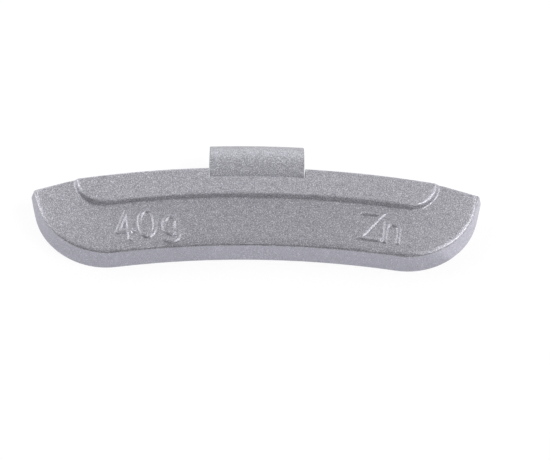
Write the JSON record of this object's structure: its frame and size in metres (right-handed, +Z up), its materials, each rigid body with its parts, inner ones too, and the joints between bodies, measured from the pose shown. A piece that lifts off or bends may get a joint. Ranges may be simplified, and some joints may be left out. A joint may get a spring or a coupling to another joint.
{
  "type": "wheel balance weight",
  "caption": "Clip-on wheel balance weight: a curved cast body with a raised band along its upper edge and a spring-steel hook that grips the rim flange.",
  "frame": {"origin": "middle of the bounding box's underside, on the surface the weight lies on", "axes": "+X along the weight, +Y along the surface from the wheel's centre towards its rim, +Z up and out of the visible face"},
  "size_m": [0.083, 0.0242, 0.0092],
  "materials": {
    "weight_body": "silver-grey coat with a fine metallic grain",
    "rim_clip": "silver-grey coated spring steel, satin"
  },
  "bodies": {
    "root": {"weight_body": "weight_body", "rim_clip": "rim_clip"}
  },
  "joints": []
}
